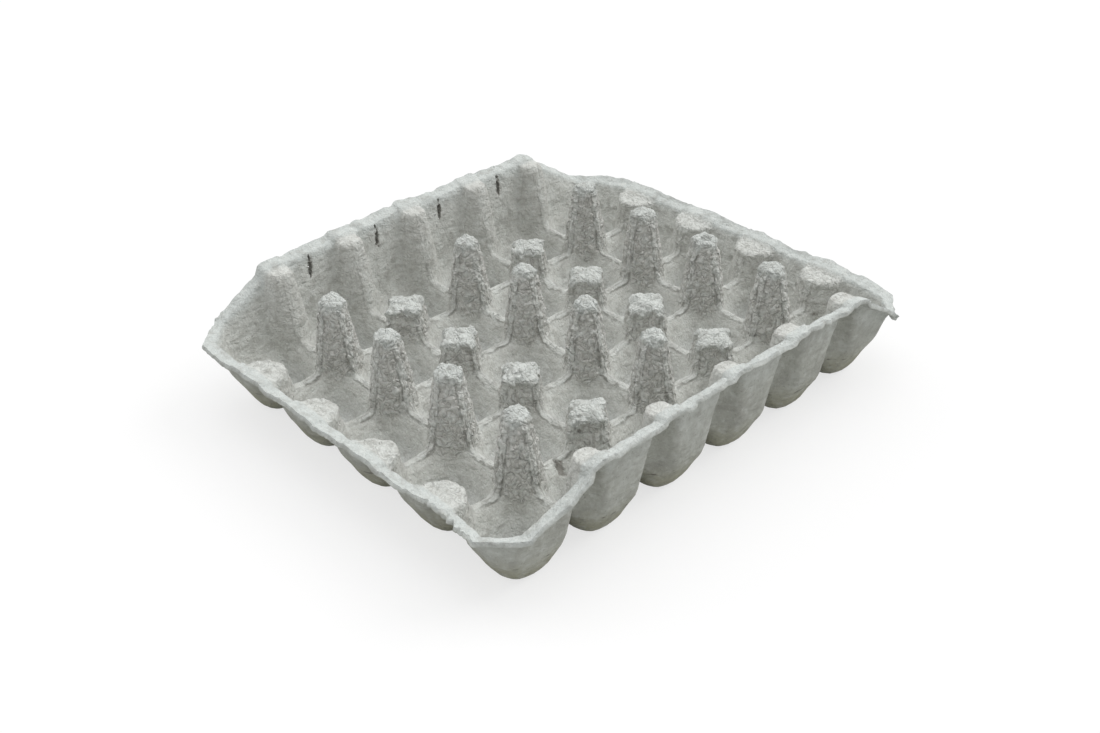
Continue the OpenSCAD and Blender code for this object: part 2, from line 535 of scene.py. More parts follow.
    def bank_height(self, x: Array, y: Array) -> Array:
        """Gives the height of the cups, saddles, walls and rim, without the posts.

        Args:
            x: Places across the tray.
            y: Places along the tray.

        Returns:
            Heights of the upper face.
        """
        g, w = self.grid, self.walls
        foot = g.foot_width / 2
        crest = min(g.half_x, g.half_y) - g.crest_width / 2
        column = np.clip(np.round(x / g.pitch_across + (g.across - 1) / 2), 0, g.across - 1)
        row = np.clip(np.round(y / g.pitch_along + (g.along - 1) / 2), 0, g.along - 1)
        p = x - (column - (g.across - 1) / 2) * g.pitch_across
        q = y - (row - (g.along - 1) / 2) * g.pitch_along
        reach = power_norm(p, q, g.squareness)
        flank = soft_max(np.zeros_like(reach), (reach - foot) / (crest - foot), self.foot_blend)
        cup = (g.saddle_height - g.wall) * soft_min(np.ones_like(flank), flank, self.crest_blend)
        share = (self.wall_place(x, y) - self.start_place) / (1 - self.start_place)
        k = w.blend / w.lean
        share = soft_min(np.ones_like(share), soft_max(np.zeros_like(share), share, k), k)
        lip = self.lip(x, y)
        rise = (self.rim_height(x, y) - g.saddle_height) * share + w.lip_height * lip ** 2
        for corner in w.corners:
            rise = rise - corner.droop * lip ** 2 * self.corner_share(corner, x, y)
        return g.wall + cup + rise

    def survey(self, x: Array, y: Array) -> Survey:
        """Finds the bank and the nearest post at each place.

        No two posts of a pulp tray are quite alike, so each gets a little of its own height,
        width and place.

        Args:
            x: Places across the tray.
            y: Places along the tray.

        Returns:
            Heights and sizes at those places.
        """
        g = self.grid
        i = np.clip(np.round(x / g.pitch_across + g.across / 2), 0, g.across).astype(int)
        j = np.clip(np.round(y / g.pitch_along + g.along / 2), 0, g.along).astype(int)
        shape = (g.across + 1, g.along + 1)
        column, row = np.meshgrid(np.arange(shape[0]), np.arange(shape[1]), indexing="ij")
        on_long = (column == 0) | (column == g.across)
        on_short = (row == 0) | (row == g.along)
        is_tall = row % 2 == 1
        kinds = (self.wall_post, self.end_post, self.tall, self.short)
        kind = np.where(on_long, 0, np.where(on_short, 1, np.where(is_tall, 2, 3)))
        draw = np.random.default_rng(self.seed)
        spread = draw.uniform(-1, 1, (4, *shape))
        line_x = (column - g.across / 2) * g.pitch_across
        line_y = (row - g.along / 2) * g.pitch_along
        tops = np.where(is_tall, self.tall_height, self.short_height) + spread[0] * self.height_spread
        at_rim = self.rim_height(line_x, line_y) + self.wall_post.crown / 2
        tops = np.where(on_long | on_short, at_rim, tops)
        tops = np.where(on_long & on_short, -self.tall_height, tops)

        def pick(name: str) -> Array:
            """Returns a size of the post at each place."""
            return np.array([getattr(post, name) for post in kinds])[kind][i, j]

        top = tops[i, j]
        cap = pick("cap_radius") * (1 + spread[1] * self.width_spread)[i, j]
        dx = x - (line_x + spread[2] * self.place_spread)[i, j]
        dy = y - (line_y + spread[3] * self.place_spread)[i, j]
        dx = np.where(on_long[i, j] & (np.abs(x) > g.wall_x), self.run_out, dx)
        dy = np.where(on_short[i, j] & (np.abs(y) > g.wall_y), self.run_out, dy)
        square = dx * dx + dy * dy
        clover = 1 - 8 * dx ** 2 * dy ** 2 / np.maximum(square, TINY) ** 2
        outward = np.clip((np.sqrt(square) - cap) / self.plan_change, 0, 1)
        power = pick("cap_power") + (pick("base_power") - pick("cap_power")) * outward
        lobes = pick("cap_lobes") + (pick("base_lobes") - pick("cap_lobes")) * outward
        radius = power_norm(dx, dy, power) / (1 + lobes * clover)
        crowned = top - pick("crown") * (radius / cap) ** 2
        flank = top - pick("crown") - (radius - cap) / pick("taper")
        post = soft_min(crowned, flank, self.cap_blend)
        sizes = (pick(name) for name in ("hem", "overhang", "roughness"))
        return Survey(self.bank_height(x, y), post, top, *sizes, dx, dy)

    def height(self, x: Array, y: Array) -> Array:
        """Gives the height of the tray's upper face, with the warp of drying above its feet.

        Args:
            x: Places across the tray.
            y: Places along the tray.

        Returns:
            Heights at those places.
        """
        spot = self.survey(x, y)
        level = soft_max(spot.bank, spot.post, self.post_blend)
        warp = sum(waves.at(x, y) for waves in self.warps)
        return level + warp * ease((level - self.grid.wall - self.warp_start) / self.warp_run)

    def outward(self, x: Array, y: Array) -> tuple[Array, Array]:
        """Gives the direction out of the tray across its rim.

        Args:
            x: Places across the tray.
            y: Places along the tray.

        Returns:
            The direction's shares across and along the tray.
        """
        d = self.slope_probe
        sx = self.wall_place(x + d, y) - self.wall_place(x - d, y)
        sy = self.wall_place(x, y + d) - self.wall_place(x, y - d)
        size = np.maximum(np.hypot(sx, sy), TINY)
        return sx / size, sy / size

    def zone_share(self, zone: Zone, x: Array, y: Array) -> Array:
        """Tells how much of each place belongs to a zone of the upper face.

        Args:
            zone: The zone to look for.
            x: Places across the tray.
            y: Places along the tray.

        Returns:
            Shares from 0 to 1.
        """
        rim = ease((self.wall_place(x, y) - self.rim_from) / self.rim_run)
        if zone is Zone.RIM:
            return rim
        spot = self.survey(x, y)
        level = soft_max(spot.bank, spot.post, self.post_blend)
        on_post = ease((spot.post - spot.bank + self.post_edge / 2) / self.post_edge) * (1 - rim)
        hem = spot.hem * sum((waves.at(x, y) for waves in self.hem_waves), 1.0)
        over_hem = hem - spot.top + level
        even = np.clip((1 + self.cap_evenness) * spot.roughness - self.cap_evenness, 0, 1)
        cap = on_post * ease(over_hem / self.cap_edge + 0.5) * even
        if zone is Zone.CAP:
            return cap
        if zone in (Zone.HEM, Zone.NECK):
            middle = self.hem_middle if zone is Zone.HEM else self.neck_middle
            band = np.exp(-((over_hem - middle) / self.hem_band) ** 2)
            return on_post * band * spot.overhang / self.deepest_overhang
        if zone is Zone.RIDGE:
            aside = np.minimum(np.abs(spot.dx), np.abs(spot.dy))
            ridge = ease(self.ridge_core - aside / self.ridge_width)
            ridge = ridge * ease((level - self.ridge_foot) / self.ridge_run_up)
            creased = self.ridge_least + (1 - self.ridge_least) * spot.roughness
            return ridge * (1 - cap) * (1 - rim) * creased
        return on_post * (1 - cap) * spot.roughness

    def ridge_run(self, x: Array, y: Array, z: Array) -> Array:
        """Measures places across and along the nearest ridge, for creases that follow it.

        Args:
            x: Places across the tray.
            y: Places along the tray.
            z: Their heights.

        Returns:
            A row for each place: across the ridge, along it and up.
        """
        spot = self.survey(x, y)
        along_x = np.abs(spot.dx) > np.abs(spot.dy)
        across = np.where(along_x, spot.dy, spot.dx)
        along = np.where(along_x, spot.dx, spot.dy)
        return np.stack([across, along + self.ridge_shift * along_x, z], axis=1)


@dataclass(frozen=True)
class Cloud:
    """One noise in the pulp: its size, its finer octaves, their strength and its twist."""

    size: float
    detail: float
    roughness: float = 0.5
    twist: float = 0.0


@dataclass(frozen=True)
class PulpFinish:
    """Grey moulded pulp: unbleached waste paper fibres, matted on a wire mesh and air dried.

    The eye gets a dead matt, felted grey with short pale and dark fibres in it, crumpled lumps on the
    steep faces where the fibres bunched, creases along the ridges, paler tops, and an olive tide mark
    on the outside where the tray stood damp. The colour also holds painted light and shade: shade in
    the crevices, creases, folds, slits and pits and under the caps' hems, highlights on the lumps and
    folds, and part of the tops' and the rim's paleness.
    """

    name: str = "moulded_pulp"
    shade: str = "#c8c9c4"
    light: str = "#d1d2cd"
    hollow: str = "#c9cbca"
    rough: str = "#d4d3ce"
    # Tops and rim: partly the pulp's own paler tone, partly painted top light.
    top: str = "#d0d5d2"
    edge: str = "#c9cfcd"
    outside: str = "#b8bab2"
    stain: str = "#b8b7a2"
    # Dark tint: painted shade in the crevices, creases and folds and under the caps' hems, and also the
    # underside's dark fibres and the tide line.
    crevice_shade_and_dark_mark: str = "#77746d"
    dark_fibre: str = "#a09f99"
    # Pale tint: pale fibres, and also painted highlights on the lumps, crumples, creases and fold ribbons.
    pale_fibre_and_highlight: str = "#dcdfdb"
    # Painted shade in and round the slits and the pits.
    pit: str = "#7d7972"
    roughness: float = 0.95
    ior: float = 1.47
    specular: float = 0.2
    blotch: Cloud = Cloud(24.0, 5.0)
    mottle: Cloud = Cloud(5.0, 1.5)
    fibre: Cloud = Cloud(1.1, 2.0)
    lump: Cloud = Cloud(3.4, 1.0, 0.4, 0.4)
    crumple: Cloud = Cloud(1.7, 1.0, 0.4, 0.4)
    bend: float = 3.2
    crease_width: float = 1.5
    crease_length: float = 13.0
    wrinkle_length: float = 9.0
    wrinkle_width: float = 2.6
    streak_detail: float = 1.5
    fold_offset: float = 2.6
    fold_wander: float = 4.0
    fold_width: float = 0.9
    fold_gap: tuple[float, float] = (0.38, 0.52)
    hollow_height: float = 16.0
    hollow_floor: float = 3.0
    stain_height: float = 24.0
    tide_height: float = 16.0
    tide_wander: float = 5.0
    tide_width: float = 0.5

    def material(self) -> bpy.types.Material:
        """Builds the node material.

        Returns:
            The new material.
        """
        material = bpy.data.materials.new(self.name)
        tree = empty_tree(material)
        on = self._patterns(tree)
        bump = add_node(
            tree, "Bump", {"Height": self._relief(tree, on)}, {"Strength": 1.0, "Distance": 1.0},
        )
        shader = add_node(
            tree, "BsdfPrincipled", {"Base Color": self._colour(tree, on), "Normal": bump.outputs[0]},
            {"Roughness": self.roughness, "IOR": self.ior, "Specular IOR Level": self.specular},
        )
        add_node(tree, "OutputMaterial", {"Surface": shader.outputs[0]})
        return material

    def _patterns(self, tree: Tree) -> Patterns:
        """Adds the patterns in the pulp.

        Args:
            tree: The material's tree.

        Returns:
            The patterns' outputs, by name and by zone.
        """
        place = add_node(tree, "TexCoord").outputs["Object"]
        run = add_node(tree, "Attribute", attribute_name="ridge_run").outputs["Vector"]
        on = {z: add_node(tree, "Attribute", attribute_name=z.attribute).outputs["Fac"] for z in Zone}
        on["height"] = add_node(tree, "SeparateXYZ", {0: place}).outputs["Z"]
        on["off_fold"] = add_node(tree, "SeparateXYZ", {0: run}).outputs["X"]
        for name in ("blotch", "mottle", "fibre", "lump", "crumple"):
            cloud = getattr(self, name)
            sizes = {"Scale": per_metre(cloud.size), "Detail": cloud.detail}
            strengths = {"Roughness": cloud.roughness, "Distortion": cloud.twist}
            noise = add_node(tree, "TexNoise", {"Vector": place}, sizes | strengths)
            on[name] = noise.outputs["Fac"]
        bent = add_node(
            tree, "VectorMath", {0: on["mottle"].node.outputs["Color"], 2: place},
            {1: (self.bend * MM,) * 3}, operation="MULTIPLY_ADD",
        ).outputs[0]
        for name, vector, wide, long, tall in (
            ("crease", run, self.crease_width, self.crease_length, self.crease_length),
            ("wrinkle", bent, self.wrinkle_length, self.wrinkle_length, self.wrinkle_width),
        ):
            stretched = add_node(
                tree, "VectorMath", {0: vector},
                {1: (per_metre(wide), per_metre(long), per_metre(tall))}, operation="MULTIPLY",
            )
            on[name] = add_node(
                tree, "TexNoise", {"Vector": stretched.outputs[0]},
                {"Scale": 1.0, "Detail": self.streak_detail},
            ).outputs["Fac"]
        on["folded"] = add_node(
            tree, "MapRange", {"Value": on["mottle"]},
            {"From Min": self.fold_gap[0], "From Max": self.fold_gap[1]},
        ).outputs[0]
        fold_middle = (self.fold_offset + self.fold_wander / 2) * MM
        tide_middle = (self.tide_height + self.tide_wander / 2) * MM
        # A step that has the name of an earlier one works on it and takes its place.
        for name, operation, *operands in (
            ("lump", "SUBTRACT", "lump", 0.5),
            ("lump", "ABSOLUTE", "lump"),
            ("crumple", "SUBTRACT", "crumple", 0.5),
            ("crumple", "ABSOLUTE", "crumple"),
            ("upper", "SUBTRACT", 1.0, Zone.UNDERSIDE),
            ("folded", "MULTIPLY", "folded", Zone.RIDGE),
            ("off_fold", "ABSOLUTE", "off_fold"),
            ("off_fold", "MULTIPLY_ADD", "mottle", self.fold_wander * MM, "off_fold"),
            ("off_fold", "SUBTRACT", "off_fold", fold_middle),
            ("fold", "ABSOLUTE", "off_fold"),
            ("tide", "MULTIPLY_ADD", "blotch", self.tide_wander * MM, "height"),
            ("level", "ADD", "tide", -self.tide_wander / 2 * MM),
            ("tide", "COMPARE", "tide", tide_middle, self.tide_width * MM),
            ("tide", "MULTIPLY", "tide", Zone.UNDERSIDE),
        ):
            links = {k: on[operand] for k, operand in enumerate(operands) if operand in on}
            values = {k: operand for k, operand in enumerate(operands) if operand not in on}
            on[name] = add_node(tree, "Math", links, values, operation=operation).outputs[0]
        on["ribbon"] = add_node(
            tree, "MapRange", {"Value": on["off_fold"]},
            {"From Min": self.fold_width / 2 * MM, "From Max": -self.fold_width / 2 * MM},
        ).outputs[0]
        return on

    def _colour(self, tree: Tree, on: Patterns) -> Socket:
        """Lays the pulp's tints, with its painted light and shade, over one another.

        Args:
            tree: The material's tree.
            on: The patterns' outputs.

        Returns:
            The finished colour.
        """
        under, width = Zone.UNDERSIDE, self.fold_width * MM
        colour = add_node(
            tree, "Mix", {0: on["blotch"]}, {6: linear(self.shade), 7: linear(self.light)},
            data_type="RGBA",
        ).outputs[2]
        # A layer: its pattern, where that starts and is full, what it keeps to, its strength and its tint.
        for pattern, start, full, where, strength, tint in (
            ("height", self.hollow_height * MM, self.hollow_floor * MM, None, 0.6, self.hollow),
            (under, 0, 1, None, 0.9, self.outside),
            ("level", self.stain_height * MM, self.tide_height * MM / 2, under, 0.85, self.stain),
            (Zone.FACE, 0, 1, None, 0.8, self.rough),
            # Paler caps and rim: partly the pulp's own tone, partly painted top light.
            (Zone.CAP, 0, 1, None, 0.8, self.top),
            (Zone.RIM, 0, 1, None, 0.8, self.edge),
            # Painted shadow under the caps' overhanging hems.
            (Zone.NECK, 0.2, 1, None, 0.12, self.crevice_shade_and_dark_mark),
            # Painted shade in the crevices between the lumps and the crumples, and painted highlights on
            # their crowns.
            ("lump", 0.04, 0.0, Zone.FACE, 0.5, self.crevice_shade_and_dark_mark),
            ("lump", 0.08, 0.18, Zone.FACE, 0.6, self.pale_fibre_and_highlight),
            ("lump", 0.03, 0.0, Zone.CAP, 0.55, self.crevice_shade_and_dark_mark),
            ("crumple", 0.03, 0.0, "upper", 0.25, self.crevice_shade_and_dark_mark),
            ("crumple", 0.1, 0.2, "upper", 0.35, self.pale_fibre_and_highlight),
            # Painted highlight on the raised side of each fold ribbon, painted shade and highlight along
            # the creases, and a painted shade line along each fold.
            ("ribbon", 0.0, 1.0, Zone.RIDGE, 0.35, self.pale_fibre_and_highlight),
            ("crease", 0.55, 0.72, Zone.RIDGE, 0.6, self.crevice_shade_and_dark_mark),
            ("crease", 0.48, 0.32, Zone.RIDGE, 0.6, self.pale_fibre_and_highlight),
            ("fold", width, width / 3, "folded", 0.5, self.crevice_shade_and_dark_mark),
            ("wrinkle", 0.56, 0.74, None, 0.25, self.dark_fibre),
            ("wrinkle", 0.44, 0.28, None, 0.2, self.pale_fibre_and_highlight),
            ("blotch", 0.53, 0.68, under, 0.35, self.dark_fibre),
            ("blotch", 0.47, 0.32, under, 0.3, self.pale_fibre_and_highlight),
            ("fibre", 0.66, 0.74, under, 0.55, self.crevice_shade_and_dark_mark),
            ("mottle", 0.53, 0.72, None, 0.4, self.dark_fibre),
            ("mottle", 0.47, 0.3, None, 0.35, self.pale_fibre_and_highlight),
            ("fibre", 0.58, 0.76, None, 0.45, self.dark_fibre),
            ("fibre", 0.42, 0.27, None, 0.35, self.pale_fibre_and_highlight),
            ("mottle", 0.5, 0.62, "tide", 0.8, self.crevice_shade_and_dark_mark),
            # Painted shade in and round the slits and the pits.
            (Zone.PIT, 0.2, 0.9, None, 0.75, self.pit),
        ):
            share = add_node(
                tree, "MapRange", {"Value": on[pattern]},
                {"From Min": start, "From Max": full, "To Max": strength},
            ).outputs[0]
            if where is not None:
                share = add_node(
                    tree, "Math", {0: share, 1: on[where]}, operation="MULTIPLY",
                ).outputs[0]
            colour = add_node(
                tree, "Mix", {0: share, 6: colour}, {7: linear(tint)}, data_type="RGBA",
            ).outputs[2]
        return colour

    def _relief(self, tree: Tree, on: Patterns) -> Socket:
        """Adds up the relief that is too fine for the mesh.

        Args:
            tree: The material's tree.
            on: The patterns' outputs.

        Returns:
            The height in metres.
        """
        relief = None
        # A part: its pattern, what it keeps to and its height in millimetres.
        for pattern, where, rise in (
            ("fibre", None, 0.25),
            ("mottle", None, 1.2),
            ("wrinkle", None, 0.9),
            ("crumple", "upper", 0.8),
            ("lump", "upper", 0.9),
            ("lump", Zone.FACE, 3.4),
            ("lump", Zone.CAP, 3.0),
            ("crease", Zone.RIDGE, -1.4),
            ("ribbon", Zone.RIDGE, 0.6),
        ):
            part = add_node(
                tree, "Math", {0: on[pattern]}, {1: rise * MM}, operation="MULTIPLY",
            ).outputs[0]
            for other, operation in ((on.get(where), "MULTIPLY"), (relief, "ADD")):
                if other is not None:
                    part = add_node(tree, "Math", {0: part, 1: other}, operation=operation).outputs[0]
            relief = part
        return relief


@dataclass(frozen=True)
class Lumps:
    """One grain of unevenness: where it is, how far apart its swellings are and how high they stand.

    Without a grain, the whole zone swells or shrinks.
    """

    zone: Zone
    grain: Grain | None
    size: float
    rise: float
    elsewhere: bool = False


@dataclass
class PulpSheet:
    """The tray's pressed and dried sheet of pulp."""

    form: TrayForm = field(default_factory=TrayForm)
    slits: Slits = field(default_factory=Slits)
    finish: PulpFinish = field(default_factory=PulpFinish)
    pits: tuple[Pit, ...] = (
        Pit((83.2, -73.4, 18.0), 1.7, 3.0, 1.2),
        Pit((80.0, -59.2, 33.8), 0.9, 0.9, 1.4),
        Pit((81.4, 137.8, 26.0), 0.8, 0.8, 1.2),
        Pit((82.0, 132.6, 20.8), 0.9, 0.9, 1.2),
    )
    lumps: tuple[Lumps, ...] = (
        Lumps(Zone.HEM, None, 0.0, 1.8),
        Lumps(Zone.NECK, None, 0.0, -0.6),
        Lumps(Zone.UNDERSIDE, Grain.SWELL, 9.0, 0.9, elsewhere=True),
        Lumps(Zone.UNDERSIDE, Grain.SWELL, 4.5, 0.5, elsewhere=True),
        Lumps(Zone.FACE, Grain.CRUMPLE, 4.2, 2.0),
        Lumps(Zone.FACE, Grain.SWELL, 2.4, 0.8),
        Lumps(Zone.CAP, Grain.CRUMPLE, 5.0, 2.8),
        Lumps(Zone.CAP, Grain.SWELL, 3.0, 0.9),
        Lumps(Zone.RIM, Grain.SWELL, 6.0, 0.4),
        Lumps(Zone.RIDGE, Grain.SWELL, 2.6, 0.8),
        Lumps(Zone.UNDERSIDE, Grain.SWELL, 11.0, 0.45),
    )
    grid_step: float = 2.6
    longest_edge: float = 3.2
    longest_rough_edge: float = 1.5
    longest_rim_edge: float = 1.7
    longest_cut_edge: float = 0.6
    refine_passes: int = 5
    rim_thickening: float = 0.4
    rim_rounding: float = 0.2
    rounding_from: float = 0.4
    edge_cuts: int = 2
    underside_smoothing: float = 0.5
    underside_rim: float = 0.4
    fray: tuple[Waves, ...] = (Waves(0.14, 3.6, 61), Waves(0.5, 14.0, 62))
    torn_edge: Waves = Waves(0.7, 4.5, 63)
    rim_waves: Waves = Waves(0.3, 13.0, 64)
    pit_edge: Waves = Waves(0.3, 2.6, 51)
    pit_margin: float = 2.0
    dent_reach: float = 1.6
    pit_shade_reach: float = 1.9
    weight_steps: int = 40
    outer_share: float = 0.4
    hidden_share: float = 0.1
    most_faces: int = 190000
    sharpest_degrees: float = 55.0
    sheet: Piece | None = None

    def build(self) -> Piece:
        """Models the tray.

        Returns:
            The finished piece, at the origin.
        """
        self._lay()
        for _ in range(self.refine_passes):
            self._refine()
        self._fray()
        self._dent()
        self._cut()
        self._thicken()
        self._thin_out()
        self._mark_zones()
        self._roughen()
        self._trim()
        self._dress()
        return self.sheet

    def _lay(self) -> None:
        """Lays a flat grid over the tray's plan and presses it to the form."""
        g = self.form.grid
        half_w = g.wall_x + self.form.walls.rim_width
        half_l = g.wall_y + self.form.walls.rim_width
        bpy.ops.object.select_all(action="DESELECT")
        bpy.ops.mesh.primitive_grid_add(
            x_subdivisions=round(2 * half_w / self.grid_step),
            y_subdivisions=round(2 * half_l / self.grid_step),
            size=2 * MM,
        )
        self.sheet = bpy.context.active_object
        self.sheet.name = "pulp_tray"
        self.sheet.data.name = "pulp_tray"
        places = self._places()
        x, y = self.form.draw_in_corners(places[:, 0] * half_w, places[:, 1] * half_l)
        places[:, 0] = x
        places[:, 1] = y
        self._press(places)

    def _places(self) -> Array:
        """Returns the mesh's points in millimetres."""
        flat = np.zeros(len(self.sheet.data.vertices) * 3, np.float32)
        self.sheet.data.vertices.foreach_get("co", flat)
        return flat.reshape(-1, 3).astype(float) / MM

    def _edge_ends(self) -> Array:
        """Returns the two points of each edge."""
        ends = np.zeros(len(self.sheet.data.edges) * 2, np.int32)
        self.sheet.data.edges.foreach_get("vertices", ends)
        return ends.reshape(-1, 2)

    def _underside(self) -> Array:
        """Returns the share of the underside at each of the mesh's points."""
        below = np.zeros(len(self.sheet.data.vertices), np.float32)
        self.sheet.data.attributes[Zone.UNDERSIDE.attribute].data.foreach_get("value", below)
        return below

    def _move(self, places: Array) -> None:
        """Moves the mesh's points to these places in millimetres, none of them below the table."""
        places[:, 2] = np.maximum(places[:, 2], 0)
        self.sheet.data.vertices.foreach_set("co", (places * MM).astype(np.float32).ravel())
        self.sheet.data.update()

    def _press(self, places: Array) -> None:
        """Presses the sheet's points to the form's height."""
        places[:, 2] = self.form.height(places[:, 0], places[:, 1])
        self._move(places)

    def _select(self, parts: str, chosen: Array) -> None:
        """Selects points, edges or faces of a mesh and goes into edit mode.

        Args:
            parts: VERT, EDGE or FACE.
            chosen: A truth value for each of them.
        """
        bpy.ops.object.mode_set(mode="EDIT")
        bpy.ops.mesh.select_mode(type=parts)
        bpy.ops.mesh.select_all(action="DESELECT")
        bpy.ops.object.mode_set(mode="OBJECT")
        mesh = self.sheet.data
        items = {"VERT": mesh.vertices, "EDGE": mesh.edges, "FACE": mesh.polygons}[parts]
        items.foreach_set("select", chosen)
        bpy.ops.object.mode_set(mode="EDIT")

    def _slit_reach(self, places: Array) -> Array:
        """Measures how far places lie from the middle of the nearest slit or nick.

        Args:
            places: Points in millimetres, a row for each.

        Returns:
            Reaches that are 1 at a ragged edge.
        """
        g, s = self.form.grid, self.slits
        ragged = 1 + s.raggedness * np.clip(ripple(places[:, 1], places[:, 2], s.grit, s.seed), -1, 1)
        nearest = np.full(len(places), FAR)
        for bay in range(1, g.along - 1):
            middle = (bay - (g.along - 1) / 2) * g.pitch_along - s.shift
            top = float(self.form.rim_height(np.float64(-g.wall_x), np.float64(middle))) - s.drop
            for width, height, start, lean in (
                (s.width, s.height, top - s.height, s.lean),
                (s.nick_width, s.nick_height, top + s.nick_gap, 0.0),
            ):
                rise = (places[:, 2] - start) / height
                aside = (places[:, 1] - middle - s.lean + lean * (1 - rise)) / (width / 2)
                reach = power_norm(aside, 2 * rise - 1, s.squareness) * ragged
                nearest = np.minimum(nearest, np.where(places[:, 0] < -g.wall_x + g.half_x, reach, FAR))
        return nearest

    def _pit_reach(self, pit: Pit, places: Array) -> Array:
        """Measures how far places lie from the middle of a pit.

        Args:
            pit: The pit.
            places: Points in millimetres, a row for each.

        Returns:
            Reaches that are 1 at its ragged edge.
        """
        middle = np.array(pit.place)
        aside = (places[:, 1] - middle[1]) / pit.half_width
        rise = (places[:, 2] - middle[2]) / pit.half_height
        depth = (places[:, 0] - middle[0]) / (2 * pit.half_height + self.pit_margin)
        ragged = 1 + self.pit_edge.at(places[:, 1], places[:, 2])
        return np.sqrt(aside ** 2 + rise ** 2 + depth ** 4) * ragged

    def _refine(self) -> None:
        """Halves the edges that are too long for the detail they carry."""
        places = self._places()
        ends = self._edge_ends()
        length = np.linalg.norm(places[ends[:, 0]] - places[ends[:, 1]], axis=1)
        middle = (places[ends[:, 0]] + places[ends[:, 1]]) / 2
        x, y = middle[:, 0], middle[:, 1]
        rough = self.form.zone_share(Zone.FACE, x, y) + self.form.zone_share(Zone.CAP, x, y)
        rim = self.form.zone_share(Zone.RIM, x, y)
        limit = self.longest_edge + (self.longest_rough_edge - self.longest_edge) * np.clip(rough, 0, 1)
        limit = limit + (self.longest_rim_edge - limit) * rim
        cut = self._slit_reach(middle) < self.slits.margin
        for pit in self.pits:
            cut |= self._pit_reach(pit, middle) < self.pit_margin
        limit = np.where(cut, self.longest_cut_edge, limit)
        self._select("EDGE", length > limit)
        bpy.ops.mesh.subdivide(number_cuts=1)
        bpy.ops.mesh.select_all(action="SELECT")
        bpy.ops.mesh.quads_convert_to_tris(quad_method="SHORTEST_DIAGONAL", ngon_method="BEAUTY")
        bpy.ops.object.mode_set(mode="OBJECT")
        self._press(self._places())

    def _fray(self) -> None:
        """Gives the rim the deckle edge and the tears of handled pulp."""
        places = self._places()
        x, y = places[:, 0].copy(), places[:, 1].copy()
        push = sum(waves.at(x, y) for waves in self.fray)
        for tear in self.form.walls.tears:
            near = np.exp(-((x - tear.place[0]) ** 2 + (y - tear.place[1]) ** 2) / tear.reach ** 2)
            push -= tear.bite * near * (1 + self.torn_edge.at(x, y))
        for corner in self.form.walls.corners:
            push += corner.spread * self.form.corner_share(corner, x, y)
        push *= self.form.lip(x, y) ** 2
        out_x, out_y = self.form.outward(x, y)
        places[:, 0] += out_x * push
        places[:, 1] += out_y * push
        on_wall = ease(self.form.wall_place(x, y))
        for corner in self.form.walls.corners:
            slide = corner.skew * self.form.corner_share(corner, x, y) * on_wall
            places[:, 0] -= corner.side_x * slide
            places[:, 1] += corner.side_y * slide
        places[:, 2] += self.rim_waves.at(x, y) * self.form.lip(x, y)
        self._move(places)

    def _dent(self) -> None:
        """Presses the pits into the sheet."""
        places = self._places()
        for pit in self.pits:
            places[:, 2] -= pit.depth * ease(self.dent_reach - self._pit_reach(pit, places))
        self._move(places)

    def _cut(self) -> None:
        """Cuts the slits out of the sheet."""
        count = len(self.sheet.data.polygons)
        flat = np.zeros(count * 3, np.float32)
        self.sheet.data.polygons.foreach_get("center", flat)
        middle = flat.reshape(-1, 3).astype(float) / MM
        gone = self._slit_reach(middle) < 1
        self._select("FACE", gone)
        bpy.ops.mesh.delete(type="FACE")
        bpy.ops.object.mode_set(mode="OBJECT")
        LOG.info("cut %d of %d faces", int(gone.sum()), count)

    def _thicken(self) -> None:
        """Gives the sheet the pulp's thickness, with a fuller edge at the rim and burrs round the slits."""
        count = len(self.sheet.data.vertices)
        solid = self.sheet.modifiers.new("pulp", "SOLIDIFY")
        solid.thickness = self.form.grid.wall * MM
        solid.offset = -1
        bpy.ops.object.modifier_apply(modifier=solid.name)
        below = np.arange(len(self.sheet.data.vertices)) >= count
        side = self.sheet.data.attributes.new(Zone.UNDERSIDE.attribute, "FLOAT", "POINT")
        side.data.foreach_set("value", below.astype(np.float32))
        places = self._places()
        self._select("VERT", below & (self.form.lip(places[:, 0], places[:, 1]) == 0))
        bpy.ops.mesh.vertices_smooth(factor=self.underside_smoothing, repeat=1)
        bpy.ops.object.mode_set(mode="OBJECT")
        places = self._places()
        lip = self.form.lip(places[:, 0], places[:, 1])
        burr = self.slits.burr * ease(self.slits.burr_reach - self._slit_reach(places))
        places[:, 0] -= np.where(below, burr, 0)
        places[:, 2] -= np.where(below, self.rim_thickening * ease(lip), 0)
        self._move(places)
        ends = self._edge_ends()
        across = below[ends[:, 0]] != below[ends[:, 1]]
        whole = len(self.sheet.data.vertices)
        self._select("EDGE", across)
        bpy.ops.mesh.subdivide(number_cuts=self.edge_cuts)
        bpy.ops.object.mode_set(mode="OBJECT")
        places = self._places()
        out_x, out_y = self.form.outward(places[:, 0], places[:, 1])
        lip = self.form.lip(places[:, 0], places[:, 1])
        swell = np.where(lip > self.rounding_from, self.rim_rounding, 0)
        swell[:whole] = 0
        places[:, 0] += out_x * swell
        places[:, 1] += out_y * swell
        self._move(places)
        LOG.info("sheet has %d points, %d after thickening", count, len(places))

    def _mark_zones(self) -> None:
        """Writes the shares of the zones to vertex groups and to attributes for the finish."""
        places = self._places()
        x, y = places[:, 0], places[:, 1]
        below = self._underside()
        shares = {zone: self.form.zone_share(zone, x, y) * (1 - below) for zone in self.form.zones}
        shares[Zone.RIM] = self.form.zone_share(Zone.RIM, x, y) * (1 - (1 - self.underside_rim) * below)
        shares[Zone.UNDERSIDE] = below
